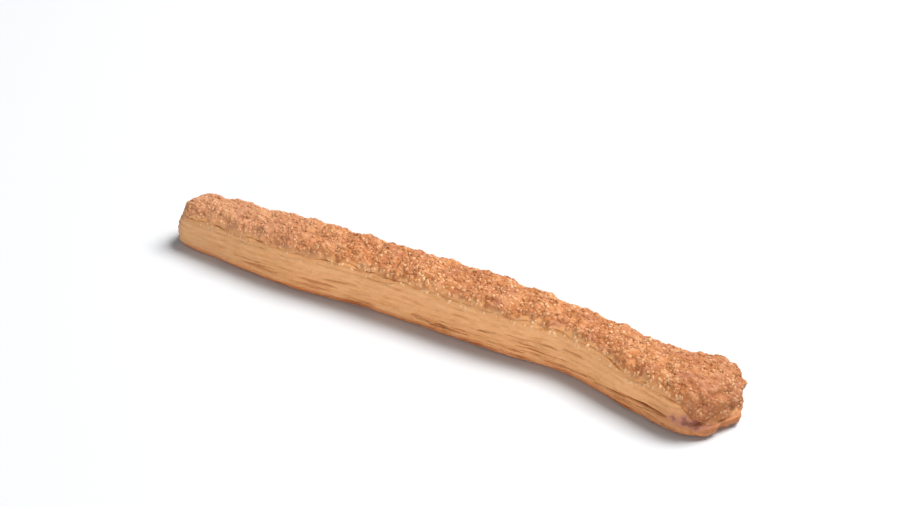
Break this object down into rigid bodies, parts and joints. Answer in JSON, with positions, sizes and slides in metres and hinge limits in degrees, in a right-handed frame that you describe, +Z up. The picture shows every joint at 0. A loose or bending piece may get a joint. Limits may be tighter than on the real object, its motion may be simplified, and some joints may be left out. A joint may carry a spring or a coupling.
{
  "type": "sweet puff pastry stick",
  "caption": "Straight baked stick of flaky laminated puff pastry, broader at one end, with pale layered cut sides and a bumpy caramelised sugar crust.",
  "frame": {"origin": "on the surface that the stick lies on, under the middle of its bounding box", "axes": "+X along the stick, from its narrow end to its broad end; +Z up, out of the sugared crust; -Y out of the cut side that shows"},
  "size_m": [0.1978, 0.0264, 0.0174],
  "materials": {
    "baked_pastry": "dry baked dough, matt flaky sides and a sugared golden brown top with small glossy spots"
  },
  "bodies": {
    "root": {"pastry_stick": "baked_pastry"}
  },
  "joints": []
}
